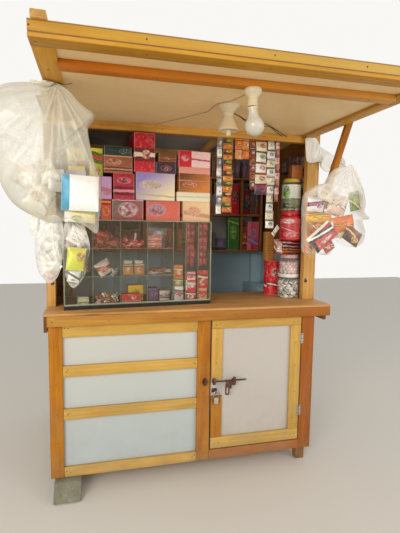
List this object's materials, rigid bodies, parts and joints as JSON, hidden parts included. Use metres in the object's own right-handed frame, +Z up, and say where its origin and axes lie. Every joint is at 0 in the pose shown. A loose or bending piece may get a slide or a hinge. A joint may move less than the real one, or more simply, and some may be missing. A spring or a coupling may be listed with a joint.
{
  "type": "street kiosk",
  "caption": "Small wooden street kiosk: boarded cabinet with a hinged door and barrel bolt, serving counter, glass display case, back shelves and a propped flap overhead.",
  "frame": {"origin": "on the ground, at the middle of the kiosk's plan box, hanging bags and flap included", "axes": "+X along the front to the right as a customer sees it, +Y from the front to the back wall, +Z up"},
  "size_m": [1.991, 2.119, 2.2378],
  "materials": {
    "varnished_wood": "varnished, orange brown",
    "light_wood": "varnished, pale yellow",
    "brown_wood": "varnished, dark",
    "white_sheet": "white faced board, dull",
    "blue_grey_board": "painted, dull",
    "roof_sheet": "weathered",
    "concrete": "rough",
    "hinge_steel": "plated, dull",
    "rusty_steel": "rusty",
    "padlock_brass": "worn",
    "black_base": "dull black",
    "case_glass": "clear, slightly green",
    "lamp_plastic": "ivory",
    "bulb_globe": "milky",
    "wire_plastic": "dull",
    "carton": "printed, mixed plain colours",
    "jar_plastic": "coloured, mixed",
    "sachet_film": "crinkled film, mixed colours",
    "bag_film": "thin clear film"
  },
  "bodies": {
    "kiosk": {"corner_posts": "brown_wood", "stone_block": "concrete", "floor_frame": "light_wood", "floor_boards": "light_wood", "front_stiles": "varnished_wood", "front_rails": "light_wood", "door_sill": "brown_wood", "front_panel": "white_sheet", "wall_trims": "light_wood", "side_panels": "white_sheet", "back_panel": "white_sheet", "back_lining": "blue_grey_board", "counter_board": "varnished_wood", "counter_fascia": "varnished_wood", "side_bearers": "brown_wood", "upper_posts": "varnished_wood", "header": "varnished_wood", "upper_side_panels": "light_wood", "roof_frame": "light_wood", "roof_panel": "roof_sheet", "flap_frame": "varnished_wood", "flap_trims": "light_wood", "flap_cross_rail": "varnished_wood", "flap_sheet": "white_sheet", "flap_cover": "roof_sheet", "flap_battens": "light_wood", "struts": "varnished_wood", "hinge_frame_leaves": "hinge_steel", "bolt_keeper": "rusty_steel", "shelf_unit": "brown_wood", "case_base": "black_base", "case_glass": "case_glass", "case_partitions": "case_glass", "lamp_holders": "lamp_plastic", "lamp_bulb": "bulb_globe", "lamp_flex": "wire_plastic", "lamp_lead": "wire_plastic", "stock_boxes": "carton", "jars": "jar_plastic", "sachet_strips": "sachet_film", "bag_left": "bag_film", "bag_right": "bag_film"},
    "door": {"door_sheet": "white_sheet", "door_rails": "light_wood", "door_stiles": "light_wood", "hinge_door_leaves": "hinge_steel", "bolt_fittings": "rusty_steel", "padlock": "padlock_brass"},
    "bolt": {"bolt_rod": "rusty_steel"}
  },
  "joints": [
    {"name": "door_hinge", "type": "hinge", "parent": "kiosk", "child": "door", "pos_m": [0.7355, -0.1455, 0.5], "axis": [0, 0, 1], "range_deg": [0, 110]},
    {"name": "bolt_slide", "type": "slide", "parent": "door", "child": "bolt", "axis": [-1, 0, 0], "range_m": [0, 0.07]}
  ]
}
